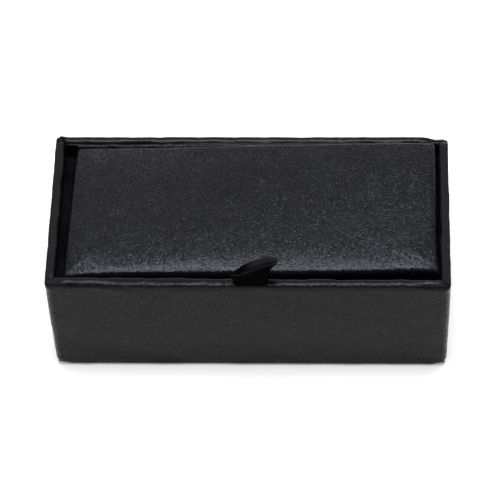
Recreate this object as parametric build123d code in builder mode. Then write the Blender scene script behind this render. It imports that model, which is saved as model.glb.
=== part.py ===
from build123d import *
import os

# Cufflink display box for one pair: a greyboard tray wrapped in leatherette, an inset padded
# lid on a leatherette hinge, a ribbon pull in the front gap and a slotted velvet pad inside.
# Millimetres. +Z is up, +X runs along the long side and the ribbon side faces -Y. The origin
# is the middle of the underside, on the surface that the box stands on.

# ---- driving dimensions -------------------------------------------------------------------

box_length = 80.0
box_depth = 37.5
box_height = 28.0

wrap_thickness = 0.35            # leatherette on the tray
wall_board_thickness = 1.0
bottom_board_thickness = 1.5
corner_radius = 0.8              # the tray's four upright edges
rim_outer_radius = 0.8
rim_inner_radius = 0.45
corner_nip = 1.3                 # the walls' lower corners are nipped off, so the wrap lies flat
turn_in_depth = 12.0             # how far the wrap goes down inside the walls
bottom_turn_in = 8.0             # how far it goes in under the bottom

base_sheet_thickness = 0.3
base_sheet_margin = 1.5
base_sheet_corner = 1.5

liner_thickness = 2.5
velvet_thickness = 0.4
ledge_height = 23.95             # top of the velvet that the lid rests on
liner_velvet_bottom = 12.0
soft_edge = 0.4                  # rounding where velvet folds over a board

hinge_strip_thickness = 0.3
hinge_play = 0.05                # between the two leaves when the lid is closed
hinge_axis_height = 27.85
hinge_strip_bottom = 17.0

lid_length = 73.8
lid_offset = 0.4                 # the lid sits this much right of the tray's middle
lid_front_gap = 1.85
lid_bottom = 24.05
lid_top = 28.05                  # at the middle of the rear edge, before the crown
lid_crown = 0.45                 # how much the pad swells over its edges
lid_cover_thickness = 0.35
lid_board_thickness = 1.5
lid_board_margin = 0.85
lid_roll_depth = 2.2             # the soft roll along the front edge, measured on the top
lid_roll_drop = 2.3              # and down the front
lid_rear_radius = 1.1
lid_end_radius = 1.0
lid_turn_in = 6.5

lining_clearance = 0.9           # between the lid's lining pad and the liner velvet
lining_board_thickness = 1.0
lining_pad_thickness = 0.9
lining_velvet_thickness = 0.3
lining_corner = 1.5
lining_crown = 0.4
lining_edge_radius = 0.7

pad_clearance = 0.15             # between the insert and the liner velvet
pad_bottom = 11.8
pad_edge_height = 15.1
pad_crown = 0.6
pad_edge_radius = 1.3
pad_corner = 1.5
card_thickness = 0.8
bench_foot = 3.5
bench_bend_radius = 1.2
slot_length = 17.0
slot_width = 5.0
slot_spacing = 35.0

ribbon_thickness = 0.3
ribbon_width = 8.6
ribbon_center = 1.85             # the pull sits a little right of the middle
ribbon_axis_height = 26.5        # where the loop bends, down in the front gap
ribbon_tail_length = 6.0
ribbon_tail_bend = 0.4
ribbon_play = 0.05
loop_left_height = 30.2          # the loop's crest at its left and right edges
loop_right_height = 34.0
loop_neck_height = 28.0          # where the loop's two plies part
loop_rim_height = 28.35          # underside of the loop where it lies over the rim
loop_front = -18.45
loop_crest_y = -17.5
loop_back_drop = 0.4
loop_fold_radii = (0.2, 0.2, 0.5, 0.35, 0.35, 0.4)  # from the back of the neck, round the front
loop_inner_radii = (0.1, 0.1, 0.1, 0.15)
loop_skew = 28                   # the ribbon's edges run back and to the right, degrees
loop_stations = (-0.2, 0.1, 0.3, 0.5, 0.7, 0.9, 1.2)

# ---- derived places -----------------------------------------------------------------------

wall = wall_board_thickness + 2 * wrap_thickness
half_length = box_length / 2
half_depth = box_depth / 2
inner_half_length = half_length - wall
inner_half_depth = half_depth - wall

wrap_bottom = base_sheet_thickness
board_bottom = wrap_bottom + wrap_thickness
board_top = box_height - wrap_thickness
floor_height = board_bottom + bottom_board_thickness
board_half_length = half_length - wrap_thickness
board_half_depth = half_depth - wrap_thickness

# The liner frame stands inside the wrap; at the rear the hinge strip runs down behind it.
hinge_strip_rear = inner_half_depth
liner_rear = inner_half_depth - hinge_strip_thickness
liner_front = -inner_half_depth
liner_board_top = ledge_height - velvet_thickness
cavity_front = liner_front + liner_thickness + velvet_thickness
cavity_rear = liner_rear - liner_thickness - velvet_thickness
cavity_half_length = inner_half_length - liner_thickness - velvet_thickness
cavity_depth = cavity_rear - cavity_front
cavity_middle = (cavity_rear + cavity_front) / 2

hinge_axis_y = liner_rear - hinge_play / 2
lid_rear = liner_rear - hinge_play - hinge_strip_thickness
lid_front = -inner_half_depth + lid_front_gap
lid_left = lid_offset - lid_length / 2
lid_right = lid_offset + lid_length / 2
lid_board_bottom = lid_bottom + lid_cover_thickness

lining_front = cavity_front + lining_clearance
lining_rear = cavity_rear - lining_clearance
lining_half_length = cavity_half_length - lining_clearance
lining_board_bottom = lid_bottom - lining_board_thickness
lining_foam_bottom = lining_board_bottom - lining_pad_thickness

pad_half_length = cavity_half_length - pad_clearance
pad_depth = cavity_depth - 2 * pad_clearance
bench_top = pad_bottom

ribbon_left = ribbon_center - ribbon_width / 2
ribbon_right = ribbon_center + ribbon_width / 2
ribbon_axis_y = lid_front - ribbon_play - ribbon_thickness


def span_sketch(low_x, high_x, low_y, high_y):
    """Rectangle by its four limits, added to the sketch that is open."""
    with Locations(((low_x + high_x) / 2, (low_y + high_y) / 2)):
        Rectangle(high_x - low_x, high_y - low_y)


def save(part, name):
    """Label a finished piece and write it to its own STEP file."""
    part.label = name
    export_step(part, f"parts/{name}.step")


os.makedirs("parts", exist_ok=True)

# ---- tray: boards -------------------------------------------------------------------------

with BuildPart() as bottom_board:
    with BuildSketch(Plane.XY.offset(board_bottom)):
        Rectangle(2 * (board_half_length - wall_board_thickness),
                  2 * (board_half_depth - wall_board_thickness))
    extrude(amount=bottom_board_thickness)
save(bottom_board.part, "bottom_board")

# The four walls are cut from one ring, so that their rounded tops meet at the corners.
with BuildPart() as wall_ring:
    with BuildSketch(Plane.XY.offset(board_bottom)):
        RectangleRounded(2 * board_half_length, 2 * board_half_depth,
                         corner_radius - wrap_thickness)
        Rectangle(2 * (board_half_length - wall_board_thickness),
                  2 * (board_half_depth - wall_board_thickness), mode=Mode.SUBTRACT)
    extrude(amount=board_top - board_bottom)
    fillet(wall_ring.faces().sort_by(Axis.Z)[-1].edges(), radius=wrap_thickness)
    for side_x in (-1, 1):
        for side_y in (-1, 1):
            split(bisect_by=Plane(origin=(side_x * (board_half_length - corner_nip),
                                          side_y * board_half_depth, board_bottom),
                                  z_dir=(side_x, side_y, -1)), keep=Keep.BOTTOM)

board_face_y = board_half_depth - wall_board_thickness
board_face_x = board_half_length - wall_board_thickness

for side, name in ((-1, "front_wall_board"), (1, "rear_wall_board")):
    with BuildPart() as long_wall:
        add(wall_ring.part)
        split(bisect_by=Plane.XZ.offset(-side * board_face_y),
              keep=Keep.TOP if side < 0 else Keep.BOTTOM)
    save(long_wall.part, name)

for side, name in ((-1, "left_wall_board"), (1, "right_wall_board")):
    with BuildPart() as short_wall:
        add(wall_ring.part)
        split(bisect_by=Plane.YZ.offset(side * board_face_x),
              keep=Keep.BOTTOM if side < 0 else Keep.TOP)
        split(bisect_by=Plane.XZ.offset(board_face_y), keep=Keep.BOTTOM)
        split(bisect_by=Plane.XZ.offset(-board_face_y), keep=Keep.TOP)
    save(short_wall.part, name)

# ---- tray: leatherette wrap ---------------------------------------------------------------

# Outside, over the rolled rim, down inside the walls, and in under the bottom board.
with BuildPart() as tray_wrap:
    with BuildSketch(Plane.XY.offset(wrap_bottom)):
        RectangleRounded(box_length, box_depth, corner_radius)
    extrude(amount=box_height - wrap_bottom)
    fillet(tray_wrap.faces().sort_by(Axis.Z)[-1].edges(), radius=rim_outer_radius)
    with BuildSketch(Plane.XY.offset(board_bottom)):
        Rectangle(2 * inner_half_length, 2 * inner_half_depth)
    extrude(amount=box_height, mode=Mode.SUBTRACT)
    fillet(tray_wrap.faces().sort_by(Axis.Z)[-1].inner_wires()[0].edges(),
           radius=rim_inner_radius)
    with BuildSketch(Plane.XY.offset(board_bottom)):
        Rectangle(2 * board_face_x, 2 * board_face_y)
    extrude(amount=box_height - turn_in_depth - board_bottom, mode=Mode.SUBTRACT)
    add(wall_ring.part, mode=Mode.SUBTRACT)
    with BuildSketch(Plane.XY.offset(wrap_bottom)):
        Rectangle(box_length - 2 * bottom_turn_in, box_depth - 2 * bottom_turn_in)
    extrude(amount=wrap_thickness, mode=Mode.SUBTRACT)
save(tray_wrap.part, "tray_wrap")

with BuildPart() as base_sheet:
    with BuildSketch():
        RectangleRounded(box_length - 2 * base_sheet_margin,
                         box_depth - 2 * base_sheet_margin, base_sheet_corner)
    extrude(amount=base_sheet_thickness)
save(base_sheet.part, "base_sheet")

# ---- tray: liner frame and its velvet -----------------------------------------------------

# The ribbon's glued ends press a shallow channel into the front ledge.
channel_bottom = lid_bottom - 2 * ribbon_thickness - 2 * ribbon_play
with BuildPart() as ribbon_channel:
    with BuildSketch(Plane.XY.offset(channel_bottom)):
        span_sketch(ribbon_left - 2 * ribbon_play, ribbon_right + 2 * ribbon_play,
                    liner_front, cavity_front)
    extrude(amount=1.0)

liner_spans = {
    "front_liner_board": (-inner_half_length, inner_half_length,
                          liner_front, liner_front + liner_thickness),
    "rear_liner_board": (-inner_half_length, inner_half_length,
                         liner_rear - liner_thickness, liner_rear),
    "left_liner_board": (-inner_half_length, -inner_half_length + liner_thickness,
                         liner_front + liner_thickness, liner_rear - liner_thickness),
    "right_liner_board": (inner_half_length - liner_thickness, inner_half_length,
                          liner_front + liner_thickness, liner_rear - liner_thickness),
}
for name, span in liner_spans.items():
    with BuildPart() as liner_board:
        with BuildSketch(Plane.XY.offset(floor_height)):
            span_sketch(*span)
        extrude(amount=liner_board_top - floor_height)
        if name == "front_liner_board":
            with BuildSketch(Plane.XY.offset(channel_bottom - velvet_thickness)):
                span_sketch(ribbon_left - 2 * ribbon_play, ribbon_right + 2 * ribbon_play,
                            liner_front, cavity_front)
            extrude(amount=1.0, mode=Mode.SUBTRACT)
    save(liner_board.part, name)

with BuildPart() as liner_velvet:
    with BuildSketch(Plane.XY.offset(liner_velvet_bottom)):
        span_sketch(-inner_half_length, inner_half_length, liner_front, liner_rear)
    extrude(amount=ledge_height - liner_velvet_bottom)
    with BuildSketch(Plane.XY.offset(liner_velvet_bottom)):
        span_sketch(-inner_half_length, inner_half_length, liner_front, liner_rear)
        with Locations((0, cavity_middle)):
            RectangleRounded(2 * (cavity_half_length + velvet_thickness),
                             cavity_depth + 2 * velvet_thickness, velvet_thickness,
                             mode=Mode.SUBTRACT)
    extrude(amount=liner_board_top - liner_velvet_bottom, mode=Mode.SUBTRACT)
    with BuildSketch(Plane.XY.offset(liner_velvet_bottom)):
        with Locations((0, cavity_middle)):
            Rectangle(2 * cavity_half_length, cavity_depth)
    extrude(amount=box_height, mode=Mode.SUBTRACT)
    fillet(liner_velvet.faces().sort_by(Axis.Z)[-1].inner_wires()[0].edges(), radius=soft_edge)
    # Pressed down under the ribbon, and still lining the channel.
    with BuildSketch(Plane.XY.offset(channel_bottom - velvet_thickness)):
        span_sketch(ribbon_left - 2 * ribbon_play, ribbon_right + 2 * ribbon_play,
                    liner_front, cavity_front - velvet_thickness)
    extrude(amount=velvet_thickness)
    add(ribbon_channel.part, mode=Mode.SUBTRACT)
save(liner_velvet.part, "liner_velvet")

# ---- tray: cufflink insert ----------------------------------------------------------------

slot_places = [(side * slot_spacing / 2, cavity_middle) for side in (-1, 1)]

# A card folded into a bench: out-turned feet, legs and a flat top with two slots.
with BuildPart() as insert_bench:
    foot_level = floor_height + card_thickness / 2
    top_level = bench_top - card_thickness / 2
    foot_reach = pad_depth / 2
    leg_reach = foot_reach - bench_foot
    with BuildSketch(Plane.YZ.offset(-pad_half_length)):
        with BuildLine():
            FilletPolyline(
                (cavity_middle - foot_reach, foot_level),
                (cavity_middle - leg_reach, foot_level),
                (cavity_middle - leg_reach, top_level),
                (cavity_middle + leg_reach, top_level),
                (cavity_middle + leg_reach, foot_level),
                (cavity_middle + foot_reach, foot_level),
                radius=bench_bend_radius,
            )
        trace(line_width=card_thickness)
    extrude(amount=2 * pad_half_length)
    with BuildSketch(Plane.XY.offset(bench_top - card_thickness)):
        with Locations(*slot_places):
            SlotOverall(slot_length, slot_width, rotation=90)
    extrude(amount=card_thickness, mode=Mode.SUBTRACT)
save(insert_bench.part, "insert_bench")


def cushion(half_length, depth, middle_y, low, edge_height, crown, corner, edge_radius,
            bevelled=False):
    """A pad whose top swells across its depth by the crown and rolls over at its edges. A
    foam core is bevelled there instead, and its cover bridges the bevel."""
    front = middle_y - depth / 2
    rear = middle_y + depth / 2
    with BuildPart() as pad:
        with BuildSketch(Plane.XY.offset(low)):
            with Locations((0, middle_y)):
                RectangleRounded(2 * half_length, depth, corner)
        extrude(amount=edge_height + crown - low)
        with BuildSketch(Plane.YZ):
            with BuildLine():
                Polyline((front, edge_height), (front, low), (rear, low), (rear, edge_height))
                ThreePointArc((rear, edge_height), (middle_y, edge_height + crown),
                              (front, edge_height))
            make_face()
        extrude(amount=half_length, both=True, mode=Mode.INTERSECT)
        rim = pad.faces().sort_by(Axis.Z)[-1].edges()
        if bevelled:
            chamfer(rim, length=edge_radius)
        else:
            fillet(rim, radius=edge_radius)
    return pad.part


foam_block = cushion(pad_half_length - velvet_thickness, pad_depth - 2 * velvet_thickness,
                     cavity_middle, pad_bottom, pad_edge_height - velvet_thickness, pad_crown,
                     pad_corner - velvet_thickness, pad_edge_radius - velvet_thickness,
                     bevelled=True)
velvet_block = cushion(pad_half_length, pad_depth, cavity_middle, pad_bottom,
                       pad_edge_height, pad_crown, pad_corner, pad_edge_radius)

with BuildPart() as insert_foam:
    add(foam_block)
    with BuildSketch(Plane.XY.offset(pad_bottom)):
        with Locations(*slot_places):
            SlotOverall(slot_length + 2 * velvet_thickness, slot_width + 2 * velvet_thickness,
                        rotation=90)
    extrude(amount=box_height, mode=Mode.SUBTRACT)
save(insert_foam.part, "insert_foam")

with BuildPart() as insert_velvet:
    add(velvet_block)
    with BuildSketch(Plane.XY.offset(pad_bottom)):
        with Locations(*slot_places):
            SlotOverall(slot_length, slot_width, rotation=90)
    extrude(amount=box_height, mode=Mode.SUBTRACT)
    slot_mouths = insert_velvet.faces().sort_by(Axis.Z)[-1].inner_wires()
    chamfer([edge for mouth in slot_mouths for edge in mouth.edges()], length=soft_edge)
    add(insert_foam.part, mode=Mode.SUBTRACT)
save(insert_velvet.part, "insert_velvet")

# ---- hinge strip --------------------------------------------------------------------------

# One leatherette strip, in two leaves that part at the crease on the hinge axis.
strip_top = hinge_axis_height - hinge_play

with BuildPart() as hinge_strip:
    with BuildSketch(Plane.XY.offset(hinge_strip_bottom)):
        span_sketch(-inner_half_length, inner_half_length, liner_rear, hinge_strip_rear)
    extrude(amount=strip_top - hinge_strip_bottom)
    fillet(hinge_strip.edges().filter_by(Axis.X).group_by(Axis.Z)[-1].sort_by(Axis.Y)[0],
           radius=hinge_strip_thickness * 0.8)
save(hinge_strip.part, "hinge_strip")

with BuildPart() as hinge_strip_lid_leaf:
    with BuildSketch(Plane.XY.offset(lid_board_bottom)):
        span_sketch(lid_left + lid_end_radius, lid_right - lid_end_radius,
                    lid_rear, lid_rear + hinge_strip_thickness)
    extrude(amount=strip_top - lid_board_bottom)
    fillet(hinge_strip_lid_leaf.edges().filter_by(Axis.X).group_by(Axis.Z)[-1].sort_by(Axis.Y)[-1],
           radius=hinge_strip_thickness * 0.8)
save(hinge_strip_lid_leaf.part, "hinge_strip_lid_leaf")

# ---- lid ----------------------------------------------------------------------------------


def lid_block(inset):
    """The padded lid's outside, drawn in by the inset. Its section across the depth has a
    rounded rear edge, a slow crown and a big roll at the front, and its ends roll over. The
    foam inside is bevelled at the ends instead."""
    rear = lid_rear - inset
    front = lid_front + inset
    low = lid_bottom + inset
    top = lid_top - inset
    half = lid_length / 2 - inset
    crown_low = top - lid_crown / 2
    rear_round = lid_rear_radius - inset
    with BuildPart() as block:
        with BuildSketch(Plane.YZ.offset(lid_offset)):
            with BuildLine():
                crown_start = (rear - rear_round, top)
                crown_middle = ((rear + front) / 2, top + lid_crown / 2)
                crown_end = (lid_front + lid_roll_depth, crown_low)
                Line((front, low), (rear, low))
                Line((rear, low), (rear, top - rear_round))
                RadiusArc((rear, top - rear_round), crown_start, -rear_round)
                crown_line = ThreePointArc(crown_start, crown_middle, crown_end)
                roll_line = TangentArc(crown_end, (front, crown_low - lid_roll_drop + inset),
                                       tangent=crown_line % 1)
                Line(roll_line @ 1, (front, low))
            make_face()
        extrude(amount=half, both=True)
        ends = block.faces().filter_by(Axis.X)
        end_rims = [edge for face in ends for edge in face.edges() if edge.center().Z > low + 0.1]
        if inset:
            chamfer(end_rims, length=lid_end_radius - inset)
        else:
            fillet(end_rims, radius=lid_end_radius)
    return block.part


lid_outside = lid_block(0)
lid_inside = lid_block(lid_cover_thickness)

with BuildPart() as lid_cover:
    add(lid_outside)
    add(lid_inside, mode=Mode.SUBTRACT)
    with BuildSketch(Plane.XY.offset(lid_bottom)):
        span_sketch(lid_left + lid_turn_in, lid_right - lid_turn_in,
                    lid_front + lid_turn_in, lid_rear - lid_turn_in)
    extrude(amount=lid_cover_thickness, mode=Mode.SUBTRACT)
save(lid_cover.part, "lid_cover")

with BuildPart() as lid_board:
    with BuildSketch(Plane.XY.offset(lid_board_bottom)):
        with Locations((lid_offset, (lid_front + lid_rear) / 2)):
            RectangleRounded(lid_length - 2 * lid_board_margin,
                             lid_rear - lid_front - 2 * lid_board_margin, 0.5)
    extrude(amount=lid_board_thickness)
save(lid_board.part, "lid_board")

with BuildPart() as lid_foam:
    add(lid_inside)
    add(lid_board.part, mode=Mode.SUBTRACT)
save(lid_foam.part, "lid_foam")

# ---- lid: lining pad ----------------------------------------------------------------------

lining_middle = (lining_front + lining_rear) / 2
lining_depth = lining_rear - lining_front


def hanging_cushion(inset, attached_at):
    """The lining pad upside down: it hangs from the height given, drawn in by the inset."""
    swell_bottom = lining_foam_bottom - lining_velvet_thickness + inset
    upright = cushion(lining_half_length - inset, lining_depth - 2 * inset, lining_middle,
                      -attached_at, -swell_bottom - lining_crown, lining_crown,
                      lining_corner - inset, lining_edge_radius - inset, bevelled=inset > 0)
    return mirror(upright, about=Plane.XY, mode=Mode.PRIVATE)


# The ribbon's ends lie in a pressed recess between the lid's turn-in and this board.
with BuildPart() as ribbon_recess:
    with BuildSketch(Plane.XY.offset(channel_bottom)):
        span_sketch(ribbon_left - ribbon_play, ribbon_right + ribbon_play,
                    lining_front, lid_front + ribbon_tail_length + ribbon_play)
    extrude(amount=lid_bottom - channel_bottom)

with BuildPart() as lid_lining_board:
    with BuildSketch(Plane.XY.offset(lining_board_bottom)):
        with Locations((0, lining_middle)):
            RectangleRounded(2 * (lining_half_length - lining_velvet_thickness),
                             lining_depth - 2 * lining_velvet_thickness,
                             lining_corner - lining_velvet_thickness)
    extrude(amount=lining_board_thickness)
    add(ribbon_recess.part, mode=Mode.SUBTRACT)
save(lid_lining_board.part, "lid_lining_board")

lining_core = hanging_cushion(lining_velvet_thickness, lid_bottom)
lining_outside = hanging_cushion(0, lid_bottom)

with BuildPart() as lid_lining_foam:
    add(lining_core)
    with BuildSketch(Plane.XY.offset(lining_board_bottom)):
        Rectangle(box_length, box_depth)
    extrude(amount=box_height, mode=Mode.SUBTRACT)
save(lid_lining_foam.part, "lid_lining_foam")

with BuildPart() as lid_lining_velvet:
    add(lining_outside)
    add(lining_core, mode=Mode.SUBTRACT)
    add(ribbon_recess.part, mode=Mode.SUBTRACT)
save(lid_lining_velvet.part, "lid_lining_velvet")

# ---- ribbon pull --------------------------------------------------------------------------

# The two glued ends come out from under the lid and turn up in the front gap.
with BuildPart() as ribbon_tails:
    tail_level = channel_bottom + ribbon_play + ribbon_thickness
    tail_top = ribbon_axis_height - ribbon_thickness - ribbon_play
    with BuildSketch(Plane.YZ.offset(ribbon_left)):
        with BuildLine():
            FilletPolyline(
                (lid_front + ribbon_tail_length, tail_level),
                (ribbon_axis_y, tail_level),
                (ribbon_axis_y, tail_top),
                radius=ribbon_tail_bend,
            )
        trace(line_width=2 * ribbon_thickness)
    extrude(amount=ribbon_width)
save(ribbon_tails.part, "ribbon_tails")


def loop_crest(share):
    """Height of the loop's crest along its width, from 0 at the left edge to 1 at the right: a
    smooth step, because the ribbon lies low at the left and stands up at the right."""
    share = min(max(share, 0), 1)
    return loop_left_height + (loop_right_height - loop_left_height) * share ** 2 * (3 - 2 * share)


def loop_sections(outline):
    """Upright sections across the loop, a little past both of its edges. The outline gives
    each one's corners, as (y, z), and their radii, from the height of the crest there."""
    sections = []
    for share in loop_stations:
        corners, radii = outline(loop_crest(share))
        with BuildSketch(Plane.YZ.offset(ribbon_left + share * ribbon_width)) as section:
            with BuildLine():
                FilletPolyline(*corners, radius=radii, close=True)
            make_face()
        sections.append(section.sketch)
    return sections


def loop_outside(crest):
    """Up out of the gap, forward over the rim, up to the crest, back to the lid, down again."""
    back = ribbon_axis_y + ribbon_thickness
    front = ribbon_axis_y - ribbon_thickness
    corners = [(back, ribbon_axis_height), (front, ribbon_axis_height),
               (front - ribbon_play, loop_neck_height), (loop_front, loop_rim_height),
               (loop_crest_y, crest), (back, crest - loop_back_drop)]
    return corners, loop_fold_radii


def loop_inside(crest):
    """The space between the plies, one ribbon thickness inside the outline."""
    corners = [(ribbon_axis_y, loop_neck_height + 1.3 * ribbon_thickness),
               (loop_front + 2 * ribbon_thickness, loop_rim_height + ribbon_thickness),
               (loop_crest_y + ribbon_thickness / 2, crest - ribbon_thickness),
               (ribbon_axis_y, crest - loop_back_drop - ribbon_thickness)]
    return corners, loop_inner_radii


with BuildPart() as ribbon_loop:
    loft(sections=loop_sections(loop_outside), ruled=True)
    loft(sections=loop_sections(loop_inside), ruled=True, mode=Mode.SUBTRACT)
    edge_direction = Vector(1, 0, 0).rotate(Axis.Z, -loop_skew)
    for edge_x, kept in ((ribbon_left, Keep.TOP), (ribbon_right, Keep.BOTTOM)):
        split(bisect_by=Plane(origin=(edge_x, ribbon_axis_y, 0), x_dir=(0, 0, 1),
                              z_dir=edge_direction), keep=kept)
save(ribbon_loop.part, "ribbon_loop")

print(f"hinge axis at y {hinge_axis_y:.3f}, z {hinge_axis_height:.3f}")
print(f"ribbon axis at y {ribbon_axis_y:.3f}, z {ribbon_axis_height:.3f}")
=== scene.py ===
import bmesh
import bpy
import numpy as np
from mathutils import Matrix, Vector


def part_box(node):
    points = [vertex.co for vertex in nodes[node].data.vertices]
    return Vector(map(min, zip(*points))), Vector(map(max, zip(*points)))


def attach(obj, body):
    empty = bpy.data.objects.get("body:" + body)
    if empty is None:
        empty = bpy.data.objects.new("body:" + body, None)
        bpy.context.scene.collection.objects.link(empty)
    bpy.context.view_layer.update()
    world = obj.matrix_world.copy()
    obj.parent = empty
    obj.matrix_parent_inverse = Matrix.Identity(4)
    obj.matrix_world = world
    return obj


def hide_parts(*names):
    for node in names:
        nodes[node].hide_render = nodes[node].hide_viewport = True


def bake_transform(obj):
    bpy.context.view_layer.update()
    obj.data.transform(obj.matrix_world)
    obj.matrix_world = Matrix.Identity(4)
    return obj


# Looks of the cufflink display box. Everything is worked out in millimetres, in the frame's
# axes (+Z up, the ribbon side faces -Y), and turned to metres where a mesh is made.

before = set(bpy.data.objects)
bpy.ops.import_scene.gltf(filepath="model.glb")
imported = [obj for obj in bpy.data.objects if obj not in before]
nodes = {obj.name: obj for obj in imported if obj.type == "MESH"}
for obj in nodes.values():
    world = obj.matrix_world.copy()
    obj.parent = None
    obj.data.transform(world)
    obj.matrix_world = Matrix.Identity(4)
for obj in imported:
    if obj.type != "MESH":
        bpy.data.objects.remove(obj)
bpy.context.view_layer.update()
MM = 0.001


def limits(node):
    """Lowest and highest corner of a frame node, in millimetres."""
    low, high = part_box(node)
    return np.array(low) / MM, np.array(high) / MM


def half_sides(low, high):
    """Half the length and half the depth of a box, and its middle."""
    return (high[0] - low[0]) / 2, (high[1] - low[1]) / 2, (high + low) / 2


wrap_low, wrap_high = limits("tray_wrap")
lid_low, lid_high = limits("lid_cover")
strip_low, strip_high = limits("hinge_strip")
leaf_low, leaf_high = limits("hinge_strip_lid_leaf")
velvet_low, velvet_high = limits("liner_velvet")
pad_low, pad_high = limits("insert_velvet")
lining_low, lining_high = limits("lid_lining_velvet")
tails_low, tails_high = limits("ribbon_tails")

# ---- shapes -------------------------------------------------------------------------------


def summed(waves, weights):
    """Waves added by their weights, and levelled to about -1 to 1."""
    return (waves * weights).sum(-1) / np.sqrt((weights ** 2).sum() / 2) / 2


def wander(at, span, fewest, most, seed):
    """A smooth uneven line between about -1 and 1 that repeats after the span: a sum of sine
    waves with from fewest to most whole turns in the span, each weaker the shorter it is and
    each with its own seeded start."""
    random = np.random.default_rng(seed)
    turns = np.unique(np.round(np.geomspace(fewest, most, 12)))
    starts = random.uniform(0, 2 * np.pi, len(turns))
    weights = random.uniform(0.5, 1, len(turns)) / np.sqrt(turns / turns[0])
    waves = np.sin(2 * np.pi * turns * np.asarray(at)[..., None] / span + starts)
    return summed(waves, weights)


def dents(x, y, longest, shortest, seed):
    """Smooth uneven ground between about -1 and 1: a sum of plane waves that run in seeded
    directions, from the longest wave to the shortest."""
    random = np.random.default_rng(seed)
    lengths = np.geomspace(longest, shortest, 14)
    turned = random.uniform(0, 2 * np.pi, len(lengths))
    starts = random.uniform(0, 2 * np.pi, len(lengths))
    weights = np.sqrt(lengths / longest)
    run = x[..., None] * np.cos(turned) + y[..., None] * np.sin(turned)
    return summed(np.sin(2 * np.pi * run / lengths + starts), weights)


def hump(distance, reach):
    """A bell: 1 at distance 0, and almost 0 from the reach on."""
    return np.exp(-(2 * np.asarray(distance) / reach) ** 2)


def smooth(value, low, high):
    """The smooth step: 0 below low, 1 above high, and 3t2 - 2t3 between them."""
    t = np.clip((np.asarray(value) - low) / (high - low), 0, 1)
    return t * t * (3 - 2 * t)


def places(half_x, half_y, corner, step, fine, corner_steps=9):
    """Places round a rounded rectangle, anticlockwise from the front left. share holds the
    share of the straight half sides, facing the outward direction, and along the distance
    walked. Steps are fine within 3 mm of a corner."""
    share, facing, along, walked = [], [], [], 0.0
    near_corner = 3
    for side, out in enumerate([(0, -1), (1, 0), (0, 1), (-1, 0)]):
        way = np.array((-out[1], out[0]))
        half = (half_x if side % 2 == 0 else half_y) - corner
        near = np.arange(0, near_corner, fine)
        far = np.linspace(near_corner, half, max(int((half - near_corner) / step), 2))
        reach = np.concatenate([near, far]) / half - 1
        t = np.concatenate([reach, -reach[-2::-1]])
        turned = np.radians(-90 + 90 * side)
        share.append(out + t[:, None] * way)
        facing.append(np.tile((np.cos(turned), np.sin(turned)), (len(t), 1)))
        along.append(walked + (t + 1) * half)
        walked += 2 * half
        bend = np.linspace(0, np.pi / 2, corner_steps + 2)[1:-1]
        share.append(np.tile(out + way, (corner_steps, 1)))
        facing.append(together(np.cos(turned + bend), np.sin(turned + bend)))
        along.append(walked + bend * corner)
        walked += corner * np.pi / 2
    return np.concatenate(share), np.concatenate(facing), np.concatenate(along), walked


def ring(stations, half_x, half_y, inset, rounding):
    """Plan positions of every station at each inset: share x (half sides - inset - rounding)
    + facing x rounding. inset and rounding have one row each, or one value per point."""
    share, facing = stations[0], stations[1]
    inset = np.asarray(inset, float)
    rounding = np.asarray(rounding, float)
    inset = inset[:, None] if inset.ndim == 1 else inset
    rounding = rounding[:, None] if rounding.ndim == 1 else rounding
    x = share[:, 0] * (half_x - inset - rounding) + facing[:, 0] * rounding
    y = share[:, 1] * (half_y - inset - rounding) + facing[:, 1] * rounding
    return x, y


def together(*coordinates):
    """Points from their coordinates, each a number or an array."""
    return np.stack(np.broadcast_arrays(*coordinates), -1)


def come_round(rows):
    """Repeat the first row after the last, which closes a grid that way."""
    return np.concatenate([rows, rows[:1]])


def grid_faces(rows, columns, around=False, first=0, turned=False):
    """Four-sided faces of a grid of points kept row by row. The last column meets the first
    where the grid goes around; turned faces look the other way."""
    index = first + np.arange(rows * columns).reshape(rows, columns)
    if around:
        index = np.hstack([index, index[:, :1]])
    corners = [index[:-1, :-1], index[:-1, 1:], index[1:, 1:], index[1:, :-1]]
    if turned:
        corners.reverse()
    return np.stack(corners, -1).reshape(-1, 4)


def piece(name, points, finish, faces=None, turned=False, lengths=None, marks=None):
    """Make a mesh object from points in millimetres and faces, or else from a grid of points
    that goes around, with smooth shading, a UV map of the lengths in millimetres where they
    are given, and a value per point for each mark."""
    if faces is None:
        faces = grid_faces(*points.shape[:2], around=True, turned=turned)
    mesh = bpy.data.meshes.new(name)
    mesh.from_pydata((np.asarray(points).reshape(-1, 3) * MM).tolist(), [], faces.tolist())
    if lengths is not None:
        corner = np.zeros(len(mesh.loops), np.int32)
        mesh.loops.foreach_get("vertex_index", corner)
        lie = mesh.uv_layers.new(name="lie")
        lie.data.foreach_set("uv", np.asarray(lengths).reshape(-1, 2)[corner].ravel())
    for mark, values in (marks or {}).items():
        layer = mesh.attributes.new(mark, "FLOAT", "POINT")
        layer.data.foreach_set("value", np.asarray(values, np.float32).ravel())
    made = bpy.data.objects.new(name, mesh)
    bpy.context.scene.collection.objects.link(made)
    weld(made)
    mesh.materials.append(finish)
    return made


def weld(made):
    """Merge points that lie on each other, drop faces with no area and shade the rest smooth."""
    built = bmesh.new()
    built.from_mesh(made.data)
    bmesh.ops.remove_doubles(built, verts=built.verts, dist=2e-6)
    bmesh.ops.dissolve_degenerate(built, edges=built.edges, dist=1e-7)
    for face in built.faces:
        face.smooth = True
    built.to_mesh(made.data)
    built.free()


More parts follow.
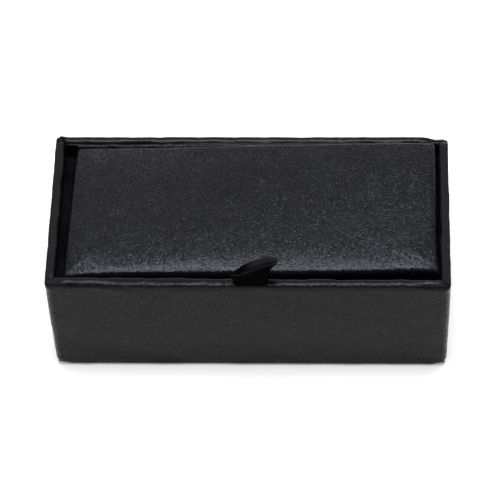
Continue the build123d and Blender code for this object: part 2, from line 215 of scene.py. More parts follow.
def swell(made, held_below, most):
    """Blow a pad up with a cloth simulation: a copy that is grow times as large, held where it
    is lower than held_below, swells for some frames. Its moves come back shrunk, and level off
    at the most that a point may move: most x tanh(move / most), in millimetres."""
    grow = 20.0
    frames = 20
    count = len(made.data.vertices)
    start = np.zeros(count * 3, np.float32)
    made.data.vertices.foreach_get("co", start)
    start = start.reshape(-1, 3)
    model = bpy.data.objects.new(made.name + "_model", made.data.copy())
    bpy.context.scene.collection.objects.link(model)
    model.data.vertices.foreach_set("co", (start * grow).ravel())
    held = model.vertex_groups.new(name="held")
    held.add(np.flatnonzero(start[:, 2] < held_below * MM).tolist(), 1.0, "REPLACE")
    cloth = model.modifiers.new("cloth", "CLOTH")
    for key, value in {"quality": 6, "mass": 0.3, "tension_stiffness": 15,
                       "compression_stiffness": 15, "shear_stiffness": 8,
                       "bending_stiffness": 0.6, "vertex_group_mass": "held",
                       "use_pressure": True, "uniform_pressure_force": 4.0}.items():
        setattr(cloth.settings, key, value)
    cloth.settings.effector_weights.gravity = 0
    cloth.point_cache.frame_start, cloth.point_cache.frame_end = 1, frames
    for moment in range(1, frames + 1):
        bpy.context.scene.frame_set(moment)
    shown = model.evaluated_get(bpy.context.evaluated_depsgraph_get())
    blown = np.zeros(count * 3, np.float32)
    shown.data.vertices.foreach_get("co", blown)
    move = blown.reshape(-1, 3) / grow - start
    size = np.linalg.norm(move, axis=1, keepdims=True) + 1e-12
    move *= most * MM * np.tanh(size / (most * MM)) / size
    made.data.vertices.foreach_set("co", (start + move).ravel())
    made.data.update()
    old = model.data
    bpy.data.objects.remove(model)
    bpy.data.meshes.remove(old)
    bpy.context.scene.frame_set(1)


def subdivide(made, levels=1):
    """Finish a piece with a subdivision surface."""
    smoother = made.modifiers.new("subdivision", "SUBSURF")
    smoother.levels = smoother.render_levels = levels


# ---- finishes: pattern groups -------------------------------------------------------------


def add(tree, kind, values=(), **settings):
    """Add a node of a kind, set its options, and set or join its inputs."""
    node = tree.nodes.new(kind)
    for key, value in settings.items():
        setattr(node, key, value)
    for key, value in dict(values).items():
        if isinstance(value, bpy.types.NodeSocket):
            tree.links.new(value, node.inputs[key])
        else:
            node.inputs[key].default_value = value
    return node


def maths(tree, operation, first, second=0.0):
    """A Math node's result."""
    return add(tree, "ShaderNodeMath", {0: first, 1: second}, operation=operation).outputs[0]


def with_share(tree, first, second, share):
    """The first value plus the second times its share."""
    return maths(tree, "ADD", first, maths(tree, "MULTIPLY", second, share))


def arrows(tree, operation, first, second):
    """A Vector Math node's result. SCALE takes its number as the second."""
    second_input = "Scale" if operation == "SCALE" else 1
    return add(tree, "ShaderNodeVectorMath", {0: first, second_input: second},
               operation=operation).outputs[0]


def noise(tree, place, scale, detail, roughness=0.5):
    """A noise pattern, with its Fac and Color outputs."""
    return add(tree, "ShaderNodeTexNoise", {"Vector": place, "Scale": scale, "Detail": detail,
                                            "Roughness": roughness}).outputs


def cell_pattern(tree, place, scale):
    """A Voronoi pattern, with its Distance and Color outputs."""
    return add(tree, "ShaderNodeTexVoronoi", {"Vector": place, "Scale": scale}).outputs


def smooth_step(tree, value, low, high, bottom=0.0, top=1.0):
    """The smooth step of a value: the bottom below low, the top above high."""
    return add(tree, "ShaderNodeMapRange",
               {"Value": value, "From Min": low, "From Max": high, "To Min": bottom,
                "To Max": top}, interpolation_type="SMOOTHSTEP").outputs[0]


def pattern_group(name, inputs, outputs):
    """Start a node group that takes a Place and named numbers, and gives named numbers, or a
    vector where the name is Normal."""
    group = bpy.data.node_groups.new(name, "ShaderNodeTree")
    group.interface.new_socket("Place", in_out="INPUT", socket_type="NodeSocketVector")
    for label, value in inputs.items():
        made = group.interface.new_socket(label, in_out="INPUT", socket_type="NodeSocketFloat")
        made.default_value = value
    for label in outputs:
        kind = "NodeSocketVector" if label == "Normal" else "NodeSocketFloat"
        group.interface.new_socket(label, in_out="OUTPUT", socket_type=kind)
    return group, group.nodes.new("NodeGroupInput").outputs


def give(group, **results):
    """Join a group's results to its outputs, and return the group."""
    add(group, "NodeGroupOutput", results)
    return group


def leather_grain():
    """Pebbled leatherette. Rounded pebbles of the Cell size in millimetres, their places
    nudged by noise, stand in creases: 1 minus the distance squared from each one's middle.
    Beads under half as large sit on them, broad noise makes them taller and lower, and fine
    noise rolls over all. Normal leans each facet of the Facet size its own random way, by up
    to half the Tilt, so that single facets glint. Height goes to the bump, Crease marks the
    valleys, Mottle the broad variation."""
    group, given = pattern_group(
        "leather_grain", {"Cell": 0.6, "Beads": 0.2, "Rolling": 0.3, "Facet": 0.3, "Tilt": 0.2},
        ("Height", "Crease", "Mottle", "Normal"))
    place = given["Place"]
    middle = (0.5, 0.5, 0.5)
    density = maths(group, "DIVIDE", 1000.0, given["Cell"])
    drift = arrows(group, "SUBTRACT", noise(group, place, 900.0, 2.0)["Color"], middle)
    nudged = arrows(group, "ADD", place, arrows(group, "SCALE", drift, 0.00008))
    coarse = cell_pattern(group, nudged, density)["Distance"]
    fine = cell_pattern(group, nudged, maths(group, "MULTIPLY", density, 2.3))["Distance"]
    pebble = maths(group, "SUBTRACT", 1.0, maths(group, "POWER", coarse, 2.0))
    bead = maths(group, "SUBTRACT", 1.0, maths(group, "POWER", fine, 2.0))
    broad = noise(group, place, 260.0, 3.0, 0.6)["Fac"]
    beaded = with_share(group, pebble, bead, given["Beads"])
    varied = maths(group, "MULTIPLY", beaded, maths(group, "ADD", broad, 0.7))
    rolling = noise(group, place, 2000.0, 1.0)["Fac"]
    facets = cell_pattern(group, place, maths(group, "DIVIDE", 1000.0, given["Facet"]))
    leaning = arrows(group, "SCALE", arrows(group, "SUBTRACT", facets["Color"], middle),
                     given["Tilt"])
    outward = add(group, "ShaderNodeNewGeometry").outputs["Normal"]
    leant = add(group, "ShaderNodeVectorMath", {0: arrows(group, "ADD", outward, leaning)},
                operation="NORMALIZE").outputs[0]
    return give(group, Height=with_share(group, varied, rolling, given["Rolling"]),
                Crease=maths(group, "SUBTRACT", 1.0, pebble), Mottle=broad, Normal=leant)


def edge_rub():
    """Rubbed edges: the piece's own rub mark, broken up by noise, and sharpened."""
    group, given = pattern_group("edge_rub", {"Mark": 0.0}, ("Rub",))
    patchy = noise(group, given["Place"], 1400.0, 4.0)["Fac"]
    return give(group, Rub=smooth_step(group, maths(group, "MULTIPLY", patchy, given["Mark"]),
                                       0.36, 0.62))


def soft_pile():
    """Velvet pile: very fine noise for the hairs, and broad noise for where the pile leans."""
    group, given = pattern_group("soft_pile", {}, ("Height", "Lean"))
    hairs = noise(group, given["Place"], 9000.0, 3.0)["Fac"]
    broad = noise(group, given["Place"], 170.0, 3.0, 0.55)["Fac"]
    return give(group, Height=hairs, Lean=smooth_step(group, broad, 0.35, 0.65))


def pressed_fibres():
    """Board and paper: short fibres as noise stretched one way, over a fine speckle."""
    group, given = pattern_group("pressed_fibres", {"Scale": 1500.0}, ("Height", "Speckle"))
    stretched = arrows(group, "MULTIPLY", given["Place"], (0.25, 1.0, 1.0))
    return give(group, Height=noise(group, stretched, given["Scale"], 4.0)["Fac"],
                Speckle=noise(group, given["Place"], 2600.0, 2.0)["Fac"])


grain_group = leather_grain()
rub_group = edge_rub()
pile_group = soft_pile()
fibre_group = pressed_fibres()

# ---- finishes: materials ------------------------------------------------------------------


def start_material(name, roughness, specular, sheen=0.0, sheen_roughness=0.5):
    """A material with a Principled BSDF whose plain values are set on its own sockets."""
    made = bpy.data.materials.new(name)
    made.use_nodes = True
    tree = made.node_tree
    shader = tree.nodes["Principled BSDF"]
    for key, value in {"Roughness": roughness, "Specular IOR Level": specular,
                       "Sheen Weight": sheen, "Sheen Roughness": sheen_roughness}.items():
        shader.inputs[key].default_value = value
    place = tree.nodes.new("ShaderNodeTexCoord").outputs["Object"]
    return made, tree, shader, place


def effect(tree, group, place, **values):
    """Place a pattern group in a material, with its own values, and return its outputs."""
    return add(tree, "ShaderNodeGroup", {"Place": place, **values}, node_tree=group).outputs


def marked(tree, mark):
    """The value of a piece's own mark, such as rub."""
    return add(tree, "ShaderNodeAttribute", attribute_name=mark).outputs["Fac"]


def blend_colours(tree, share, first, second):
    """Mix of two colours, each a plain colour or another node's output."""
    first, second = [end if isinstance(end, bpy.types.NodeSocket) else (*end, 1)
                     for end in (first, second)]
    return add(tree, "ShaderNodeMix", {0: share, 6: first, 7: second},
               data_type="RGBA").outputs[2]


def bump(tree, shader, height, distance, normal=None):
    """Join a height to the shader's normal, as a relief of the distance in millimetres on top
    of the normal given, or else of the surface's own."""
    relief = add(tree, "ShaderNodeBump", {"Height": height, "Distance": distance * MM})
    if normal is not None:
        tree.links.new(normal, relief.inputs["Normal"])
    tree.links.new(relief.outputs[0], shader.inputs["Normal"])


def leatherette(name, dark, light, roughness, specular, cell, relief, facet, tilt):
    """Black leatherette: grain in relief, mottled between two near blacks, and duller in the
    creases. Where the piece's rub mark says, its facets lean more and it is rubbed paler and
    smoother. Where the matte mark says, it is dull, or glossier for a mark below 0."""
    made, tree, shader, place = start_material(name, roughness, specular)
    mark = marked(tree, "rub")
    grain = effect(tree, grain_group, place, Cell=cell, Facet=facet,
                   Tilt=with_share(tree, tilt, mark, 1.2 * tilt))
    rub = effect(tree, rub_group, place, Mark=mark)["Rub"]
    ground = blend_colours(tree, grain["Mottle"], dark, light)
    wear_and_painted_light = blend_colours(tree, rub, ground, tuple(2.6 * c for c in light))
    tree.links.new(wear_and_painted_light, shader.inputs["Base Color"])
    creased = with_share(tree, roughness - 0.04, grain["Crease"], 0.16)
    polished = with_share(tree, creased, rub, -0.1)
    tree.links.new(with_share(tree, polished, marked(tree, "matte"), 0.4),
                   shader.inputs["Roughness"])
    bump(tree, shader, grain["Height"], relief, grain["Normal"])
    return made


def velvet(name, dark, light):
    """Black velvet: sheen at grazing angles, and a pile that leans in broad patches."""
    made, tree, shader, place = start_material(name, 0.9, 0.02, sheen=0.07,
                                               sheen_roughness=0.4)
    pile = effect(tree, pile_group, place)
    tree.links.new(blend_colours(tree, pile["Lean"], dark, light), shader.inputs["Base Color"])
    bump(tree, shader, pile["Height"], 0.06)
    return made


def board(name, dark, light, scale=1500.0, relief=0.02, roughness=0.85):
    """Pressed board or paper: fibre relief over a two-tone speckle."""
    made, tree, shader, place = start_material(name, roughness, 0.25)
    fibres = effect(tree, fibre_group, place, Scale=scale)
    tree.links.new(blend_colours(tree, fibres["Speckle"], dark, light),
                   shader.inputs["Base Color"])
    bump(tree, shader, fibres["Height"], relief)
    return made


def ribbed_ribbon():
    """Black grosgrain: rounded ribs 0.42 apart across the ribbon from its UV map, threads 0.16
    apart along it, and rib valleys painted darker than the rib tops, a painted shade. Where the
    piece's mark says, the colour is painted paler, a painted light on the crest and the band
    behind it; elsewhere it keeps its darker painted shade."""
    rib_pitch, thread_pitch = 0.42, 0.16
    made, tree, shader, _ = start_material("ribbon_grosgrain", 0.62, 0.0, sheen=0.01,
                                               sheen_roughness=0.4)
    lie = add(tree, "ShaderNodeUVMap", uv_map="lie").outputs["UV"]
    split = add(tree, "ShaderNodeSeparateXYZ", {0: lie}).outputs
    wave = maths(tree, "SINE", maths(tree, "MULTIPLY", split["Y"], np.pi / rib_pitch))
    rib = maths(tree, "ABSOLUTE", wave)
    thread = maths(tree, "SINE", maths(tree, "MULTIPLY", split["X"], 2 * np.pi / thread_pitch))
    # Painted shade: each colour is darker in the rib valleys and paler on the rib tops.
    painted_shade_black = blend_colours(tree, rib, (0.0004, 0.0004, 0.0004), (0.0042, 0.0039, 0.0037))
    painted_light_black = blend_colours(tree, rib, (0.0030, 0.0028, 0.0027), (0.0260, 0.0241, 0.0231))
    # Painted light and painted shade: the mark picks the paler painted light colour on the crest
    # and the band behind it, and the near-black painted shade elsewhere, with the front ply.
    tree.links.new(blend_colours(tree, marked(tree, "wear_and_painted_light"), painted_shade_black, painted_light_black),
                   shader.inputs["Base Color"])
    bump(tree, shader, with_share(tree, rib, thread, 0.12), 0.07)
    return made


tray_leather = leatherette(
    "tray_leatherette", (0.0042, 0.0041, 0.0038), (0.0072, 0.0071, 0.0066),
    roughness=0.22, specular=0.09, cell=0.30, relief=0.02, facet=0.28, tilt=0.11)
lid_leather = leatherette(
    "lid_leatherette", (0.0026, 0.0027, 0.0031), (0.0052, 0.0053, 0.0060),
    roughness=0.20, specular=0.17, cell=0.28, relief=0.034, facet=0.26, tilt=0.20)
black_velvet = velvet("velvet_black", (0.0018, 0.0018, 0.0020), (0.0048, 0.0048, 0.0052))
ribbon_finish = ribbed_ribbon()
greyboard = board("greyboard", (0.16, 0.15, 0.135), (0.27, 0.255, 0.235))
black_card = board("black_card", (0.010, 0.010, 0.010), (0.020, 0.020, 0.020),
                   scale=2200.0, relief=0.012)
base_paper = board("base_paper", (0.010, 0.010, 0.0105), (0.022, 0.022, 0.022),
                   scale=700.0, relief=0.05, roughness=0.7)

# ---- tray wrap ----------------------------------------------------------------------------

half_x, half_y = wrap_high[0], wrap_high[1]
rim_z = wrap_high[2]
wall = 1.7
skin = 0.35
corner = 0.8
outer_roll = 0.45
inner_roll = 0.5
turned_under = 8
turned_in = 12
around_tray = places(half_x, half_y, corner, step=0.5, fine=0.14)


def wrap_section():
    """The wrap's section as insets from the outer face and heights, from the turned-in edge
    below, out round the bottom fold, up the face, over the rim and down inside. The outer rim
    is an arc of the outer roll at the sides and rear, and then flat. At the front it is walked
    in steps of the slopes given in degrees, which makes it low and full. Both are returned,
    front first, and then the way back under the skin."""
    low = wrap_low[2]
    fold = np.radians(np.linspace(-90, -180, 7))
    outer = np.radians(np.linspace(180, 90, 10))
    inner = np.radians(np.linspace(90, 0, 9))
    slope = np.radians([88, 85, 82, 78, 70, 58, 46, 35, 27, 20, 13, 6])
    step = np.array([0.35, 0.3, 0.25, 0.2, 0.13, 0.13, 0.12, 0.13, 0.15, 0.16, 0.17, 0.2])
    across = np.append(0, np.cumsum(step * np.cos(slope)))
    rise = np.append(0, np.cumsum(step * np.sin(slope)))
    rims = [(across, rim_z - rise[-1] + rise),
            (np.append(outer_roll + outer_roll * np.cos(outer), [0.65, 0.85, 1.02]),
             np.append(rim_z - outer_roll + outer_roll * np.sin(outer), [rim_z] * 3))]
    sections = []
    for rim_inset, rim_height in rims:
        inset = [np.linspace(turned_under, 0.6, 8), 0.3 + 0.3 * np.cos(fold)[1:],
                 np.zeros(23), rim_inset, wall - inner_roll + inner_roll * np.cos(inner),
                 np.full(14, wall)]
        height = [np.full(8, low), low + 0.75 + 0.75 * np.sin(fold)[1:],
                  np.concatenate([np.linspace(low + 1.1, low + 3.6, 7),
                                  np.linspace(low + 4.9, rim_z - 3.6, 11),
                                  np.linspace(rim_z - 2.8, rim_z - 1.9, 5)]),
                  rim_height, rim_z - inner_roll + inner_roll * np.sin(inner),
                  np.linspace(rim_z - 0.8, rim_z - turned_in, 14)]
        sections.append(together(np.concatenate(inset), np.concatenate(height)))
    back_inset = [wall - skin, wall - skin, skin, skin, turned_under]
    back_height = [rim_z - turned_in, rim_z - skin, rim_z - skin, low + skin, low + skin]
    return sections[0], sections[1], together(back_inset, back_height)


def wrap_surface(stations, front_section, other_section):
    """Carry the section points round the stations, the full front rim only along the front
    and short of its left corner, and press the handmade unevenness into them: the rim rises
    and falls along its length, its inner edge wanders and stands further in at the front left,
    and the faces dent and lean out upwards a little. The upright corners are rounder below
    the rim than at it."""
    facing, along = stations[1], stations[2]
    at_x = stations[0][:, 0] * half_x
    front = np.clip(-facing[:, 1], 0, 1) ** 2
    front = front * smooth(at_x, -37.6, -36.5) * (1 - smooth(at_x, 37.8, 39.0))
    inset = other_section[:, :1] + (front_section - other_section)[:, :1] * front
    height = other_section[:, 1:] + (front_section - other_section)[:, 1:] * front
    upright = corner + 0.55 * (1 - smooth(height, 25.2, 27.4))
    rounding = np.maximum(upright - inset, 0.12)
    top = smooth(height, rim_z - 1.6, rim_z - 0.2)
    inside = smooth(inset, 0.5, 1.3) * smooth(height, rim_z - 6, rim_z - 1)
    bottom = 1 - smooth(height, wrap_low[2] + 0.6, wrap_low[2] + 2.5)
    outer_face = smooth(0.3 - inset, 0, 0.3)
    total = stations[3]
    drawn = (0.05 * wander(along, total, 20, 120, 3) * top
             + 0.11 * wander(along, total, 14, 70, 4) * inside
             + 0.05 * wander(along, total, 9, 60, 5) * bottom * outer_face
             + 0.035 * wander(along + 3 * height, total, 5, 30, 6) * outer_face)
    x, y = ring(stations, half_x, half_y, inset + drawn, rounding)
    stands_out = 1 - smooth(inset, 0.3, 1.5)
    leans = smooth(height, 2, 18) * stands_out
    x = x + facing[:, 0] * 0.18 * leans
    y = y + facing[:, 1] * 0.2 * leans * smooth(at_x, -31, -26) * (y < 0)
    z = height + 0.05 * wander(along, total, 16, 90, 7) * top
    y = y + 0.38 * inside * (y < 2 - half_y) * (1 - smooth(x, -36, 30))
    return x, y, z


def corner_work(x, y, z):
    """The rim and its corners. Along the front the outer edge falls away sooner near both
    ends. The rear rim slopes in a little, stands up, and sinks at its right end. A mitre
    groove runs across each corner, and small folded tips stand at the front left and rear
    left. The lower corners are knocked round: a quarter ellipse 1.7 up, and in by 1.15 along
    the box and 0.5 across it."""
    top = smooth(z, rim_z - 1.4, rim_z - 0.25)
    from_x, from_y = half_x - np.abs(x), half_y - np.abs(y)
    across = (from_x - from_y) / np.sqrt(2)
    near = 1 - smooth(np.maximum(from_x, from_y), 1.6, 2.4)
    fuller = (0.30 * smooth(x, -37.3, -36.3) * (1 - smooth(x, -33.0, -24.0))
              + 0.37 * smooth(x, 31.8, 36.5) * smooth(across, -0.1, 0.3)
              + 0.03 * wander(x, 80, 3, 20, 8))
    reach = 1.35 + 0.65 * smooth(x, 33.5, 38.0)
    front_falls = fuller * np.clip(1 - from_y / reach, 0, 1) ** 1.6 * (y < 0)
    rear_slope = np.clip(from_y - 0.80, 0, 0.7) * (y > 0) * (from_y < from_x)
    rear_stands = (0.3 - 0.7 * smooth(x, 35.0, 38.0)) * smooth(y, 16.5, 18.2)
    mitre = hump(across - 0.12, 0.34) * near
    front_tip = hump(np.hypot(x + 38.85, y + 17.1), 1.3)
    rear_tip = hump(np.hypot(x + 38.9, y - 18.2), 1.4)
    z = z + top * (0.36 * front_tip + 0.42 * rear_tip + rear_stands - front_falls
                   - 0.10 * rear_slope - 0.16 * mitre)
    rise = np.clip((z - wrap_low[2]) / 1.7, 0, 1)
    knocked = 1 - np.sqrt(1 - (1 - rise) ** 2)
    knocked = knocked * (1 - smooth(from_x, 0.8, 3.2)) * (1 - smooth(from_y, 0.8, 3.2))
    x = x - np.sign(x) * 1.15 * knocked
    y = y - np.sign(y) * 0.5 * knocked
    return x, y, z


front_section, outside_section, back_section = wrap_section()
wrap_outer = together(*corner_work(*wrap_surface(around_tray, front_section,
                                                 outside_section)))
back_x, back_y = ring(around_tray, half_x, half_y, back_section[:, 0],
                      np.maximum(corner - back_section[:, 0], 0.12))
wrap_back = together(back_x, back_y, back_section[:, 1:])
wrap_points = come_round(np.concatenate([wrap_outer, wrap_back]))

# The leatherette is rubbed along the rim, the foot and the upright corners.
upright_edge = np.abs(around_tray[1]).min(1) * 1.3
worn_rim = hump(outside_section[:, 0] - 0.35, 0.7) * (outside_section[:, 1] > rim_z - 1.0)
worn_foot = hump(outside_section[:, 1] - wrap_low[2], 0.9) * (outside_section[:, 0] < 0.6)
rub = np.maximum(np.maximum(worn_rim, 0.8 * worn_foot)[:, None], upright_edge[None, :] *
                 (outside_section[:, 0] < 0.8)[:, None])
rub = np.vstack([rub, np.zeros((len(back_section) + 1, rub.shape[1]))])

# The rim is dull at its front corners and along its sides, and glossy on the bead front left.
rim_x, rim_from_front = wrap_points[..., 0], wrap_points[..., 1] + half_y
matte = (rim_from_front < 2.2) * np.maximum(
    1 - smooth(rim_x, -37.1, -36.3), smooth(rim_x - 36.6 - 1.2 * rim_from_front, 0, 0.7))
matte = np.maximum(matte, 0.8 * smooth(rim_from_front, 1.2, 2.4)
                   * (1 - smooth(rim_from_front, 2 * half_y - 2.0, 2 * half_y - 1.2)))
bead = np.hypot(rim_x + 38.7, rim_from_front - 1.5)
matte = matte * (1 - hump(bead, 1.7)) - 0.35 * hump(bead, 1.3)
matte = matte * smooth(wrap_points[..., 2], rim_z - 1.6, rim_z - 0.9)
tray_wrap = piece("tray_leatherette_wrap", wrap_points, tray_leather,
                  marks={"rub": rub * (1 - matte), "matte": matte})
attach(tray_wrap, "tray")
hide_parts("tray_wrap")

# ---- padded pieces ------------------------------------------------------------------------


def pad_rings(stations, half_x, half_y, plan_corner, insets, height, foot, side_rows=3):
    """A pad in rings, from its middle line out to its edge at the insets given, where the
    corners get rounder the further in a ring is, and then straight down to the foot.
    height(x, y, inset) is the pad's surface."""
    rounding = np.minimum(plan_corner + 0.55 * insets, half_y - insets)
    x, y = ring(stations, half_x, half_y, insets, rounding)
    z = height(x, y, insets[:, None])
    down = np.linspace(0, 1, side_rows + 1)[1:, None]
    x = np.vstack([x, np.tile(x[-1], (side_rows, 1))])
    y = np.vstack([y, np.tile(y[-1], (side_rows, 1))])
    z = np.vstack([z, z[-1] + (foot - z[-1]) * down])
    return x, y, z


def closed_below(x, y, z, stations, half_x, half_y, plan_corner, insets, heights):
    """Carry a pad's rings on underneath it, through the insets and heights given, to its
    middle line."""
    insets = np.append(insets, half_y)
    heights = np.append(heights, heights[-1])
    rounding = np.minimum(plan_corner + 0.55 * insets, half_y - insets)
    under_x, under_y = ring(stations, half_x, half_y, insets, rounding)
    return (np.vstack([x, under_x]), np.vstack([y, under_y]),
            np.vstack([z, heights[:, None] + 0 * under_x]))


# ---- lid cushion --------------------------------------------------------------------------

lid_half_x, lid_half_y, lid_middle = half_sides(lid_low, lid_high)
lid_corner = 0.5
lid_level = 28.2
around_lid = places(lid_half_x, lid_half_y, lid_corner, step=0.62, fine=0.3, corner_steps=8)
faces_front = np.clip(-around_lid[1][:, 1], 0, 1) ** 2
faces_rear = np.clip(around_lid[1][:, 1], 0, 1) ** 2
faces_end = around_lid[1][:, 0] ** 2
lid_insets = np.concatenate([np.linspace(lid_half_y, 4.5, 14), np.geomspace(4.0, 0.05, 17), [0]])


def lid_surface(x, y, inset):
    """The lid's padded top: a level with a crown across its depth, and a lift towards the
    right rear. Each edge drops by an amount that dies away inwards as exp(-inset / reach),
    slowly first and then quickly, so that it rolls over. The slow drop is deepest at the
    front, and at the rear it is there at the left only. The two front corners drop a little
    more, and broad dents make it handmade."""
    from_front = y + lid_half_y
    depth = from_front / (2 * lid_half_y)
    share = (x + lid_half_x) / (2 * lid_half_x)
    crown = 0.9 * depth * (1 - depth) + 0.12 * depth
    lifted = 1.45 * smooth(share, 0.1, 1.05) * smooth(depth, 0.1, 1.02)
    slow = (0.82 * np.exp(-from_front / 3.9) + 0.45 * np.exp(-(lid_half_x - np.abs(x)) / 3.0)
            + 0.30 * np.exp(-(2 * lid_half_y - from_front) / 4.0)
            * (1 - 0.9 * smooth(share, 0.15, 0.6)))
    quick = (faces_front * 0.95 * np.exp(-inset / 0.30) + faces_end * 0.7 * np.exp(-inset / 0.25)
             + faces_rear * 0.22 * np.exp(-inset / 0.15)
             + 0.4 * np.exp(-np.hypot(x + lid_half_x, y + lid_half_y) / 1.2)
             + 0.4 * np.exp(-np.hypot(x - lid_half_x, y + lid_half_y) / 1.0))
    return lid_level + crown + lifted - slow - quick + 0.045 * dents(x, y, 34, 7, 11)


lid_x, lid_y, lid_z = pad_rings(around_lid, lid_half_x, lid_half_y, lid_corner, lid_insets,
                                lid_surface, lid_low[2] + 0.35)

# Below the roll the cover is gathered into pleats round each corner.
pleats = 0.08 * np.sin(np.arctan2(*around_lid[1].T[::-1]) * 34) * (
    np.abs(around_lid[1]).min(1) > 0.05)
low_down = 1 - smooth(lid_z, 25.0, 27.0)
lid_x = lid_x + around_lid[1][:, 0] * pleats * low_down
lid_y = lid_y + around_lid[1][:, 1] * pleats * low_down
lid_x, lid_y, lid_z = closed_below(
    lid_x, lid_y, lid_z, around_lid, lid_half_x, lid_half_y, lid_corner,
    np.array([0.1, 0.35, 2.0, 4.5, 6.4, 6.5, 6.6, 9.0]),
    lid_low[2] + np.array([0.1, 0, 0, 0, 0, 0.12, 0.5, 0.6]))

# In plan the cover isn't quite square: its front edge runs at a slant, its right end stands
# out and its left end leans in towards the rear. Its rear top edge keeps clear of the hinge.
ahead = 1 - smooth(lid_y, -lid_half_y, lid_half_y)
lid_depth = (lid_y + lid_half_y) / (2 * lid_half_y)
lid_share = (lid_x + lid_half_x) / (2 * lid_half_x)
lid_y = lid_y + ahead * (0.9 * lid_share - 0.8 + 0.35 * smooth(lid_share, 0.75, 0.97)
                         + 0.14 * smooth(lid_share, 0.05, 0.25) - 0.3 * np.exp(-lid_share / 0.05))
lid_x = (lid_x + lid_share * (0.28 + 0.66 * np.exp(-lid_depth / 0.12)
                              + 0.35 * np.exp(-lid_depth / 0.05))
         + (1 - lid_share) * (0.76 * lid_depth - 0.12 - 0.45 * np.exp(-lid_depth / 0.09)))
rear_top = smooth(lid_y, lid_half_y - 1.0, lid_half_y) * smooth(lid_z, 27.3, 27.9)
lid_y = lid_y - 0.32 * rear_top
lid_points = together(lid_x + lid_middle[0], lid_y + lid_middle[1], lid_z)
lid_rub = np.tile(0.75 * faces_front + 0.55 * faces_end, (len(lid_x), 1))
roll_row = 27
lid_rub = lid_rub * hump(np.arange(len(lid_x)) - roll_row, 9)[:, None]
lid_matte = hump(np.hypot(lid_x - lid_x.max(), lid_y - lid_y.min()), 5.0)
lid_cushion = piece("lid_cushion", lid_points, lid_leather, turned=True,
                    marks={"rub": lid_rub * (1 - lid_matte), "matte": lid_matte})
swell(lid_cushion, held_below=25.2, most=0.06)
subdivide(lid_cushion)
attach(lid_cushion, "lid")
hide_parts("lid_cover", "lid_foam")

# ---- lid lining pad -----------------------------------------------------------------------

lining_half_x, lining_half_y, lining_middle = half_sides(lining_low, lining_high)
lining_corner = 1.5
around_lining = places(lining_half_x, lining_half_y, lining_corner, step=0.9, fine=0.45,
                       corner_steps=6)


def lining_surface(x, y, inset):
    """The lining pad, seen the right way up: a shallow crown over its depth, an edge that
    drops by an amount that dies away inwards, and soft dents."""
    crown = 0.4 * (1 - (y / lining_half_y) ** 2)
    return (-lining_low[2] - 0.4 + crown - 0.75 * np.exp(-inset / 0.5)
            + 0.03 * dents(x, y, 24, 5, 21))


lining_insets = np.concatenate([np.linspace(lining_half_y, 3, 12), np.geomspace(2.5, 0.1, 9), [0]])
lining_x, lining_y, lining_z = pad_rings(
    around_lining, lining_half_x, lining_half_y, lining_corner, lining_insets, lining_surface,
    -lining_high[2], 2)
lining_x, lining_y, lining_z = closed_below(
    lining_x, lining_y, lining_z, around_lining, lining_half_x, lining_half_y, lining_corner,
    np.array([0.25, 0.4, 3.0]), np.array([0, 0.35, 0.4]) - lining_high[2])
lining_points = together(lining_x + lining_middle[0], lining_y + lining_middle[1], lining_z)
lid_lining = piece("lid_lining_cushion", lining_points, black_velvet, turned=True)
swell(lid_lining, held_below=-lining_high[2] + 0.5, most=0.2)
lid_lining.data.transform(Matrix.Diagonal((1, 1, -1, 1)))
lid_lining.data.flip_normals()
subdivide(lid_lining)
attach(lid_lining, "lid")
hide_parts("lid_lining_velvet", "lid_lining_foam")

# ---- insert pad ---------------------------------------------------------------------------

pad_half_x, pad_half_y, pad_middle = half_sides(pad_low, pad_high)
pad_roll = 1.5
slot_x = 17.5
slot_half_width = 2.5
slot_half_length = 8.5
pad_level = 15.1


def pad_edge():
    """Outline of the pad's right half, from the rear middle clockwise to the front middle, and
    the line from there back to the rear middle."""
    bend = np.linspace(0, np.pi / 2, 9)
    to_x, to_y = pad_half_x - pad_roll, pad_half_y - pad_roll
    rear = together(np.linspace(0, to_x, 46), pad_half_y)
    rear_corner = together(to_x + pad_roll * np.sin(bend), to_y + pad_roll * np.cos(bend))[1:]
    end = together(pad_half_x, np.linspace(to_y, -to_y, 32))[1:]
    front = np.concatenate([rear, rear_corner])[::-1] * (1, -1)
    line = together(0, np.linspace(-pad_half_y, pad_half_y, 32)[1:-1])
    return np.concatenate([rear, rear_corner, end, front[1:]]), line


def slot_outline(outer):
    """The point of the slot's outline in the same direction from its middle as each outer
    point: on the straight sides where that ray meets them first, else on the end circles."""
    way = outer - (slot_x, 0)
    way = way / np.linalg.norm(way, axis=1, keepdims=True)
    straight = slot_half_length - slot_half_width
    to_side = slot_half_width / np.maximum(np.abs(way[:, 0]), 1e-9)
    rise = straight * np.abs(way[:, 1])
    to_end = rise + np.sqrt(np.maximum(rise ** 2 - straight ** 2 + slot_half_width ** 2, 0))
    reach = np.where(to_side * np.abs(way[:, 1]) <= straight, to_side, to_end)
    return way * reach[:, None] + (slot_x, 0)


def pad_height(x, y):
    """The insert's top: a crown over its depth, a slight swell between the slots, rolled
    edges, and velvet drawn down into each slot: quarter ellipses."""
    crown = pad_level + 0.6 * (1 - (y / pad_half_y) ** 2) + 0.12 * np.cos(x * np.pi / slot_x)
    edge = np.minimum(pad_half_x - np.abs(x), pad_half_y - np.abs(y))
    roll = np.clip(1 - edge / pad_roll, 0, 1)
    crown = crown - 1.3 * (1 - np.sqrt(np.maximum(1 - roll ** 2, 0)))
    aside = np.maximum(np.abs(y) - (slot_half_length - slot_half_width), 0)
    from_slot = np.hypot(np.abs(x) - slot_x, aside) - slot_half_width
    lip = np.clip(1 - from_slot / 1.2, 0, 1)
    return crown - 1.0 * (1 - np.sqrt(np.maximum(1 - 0.98 * lip ** 2, 0)))


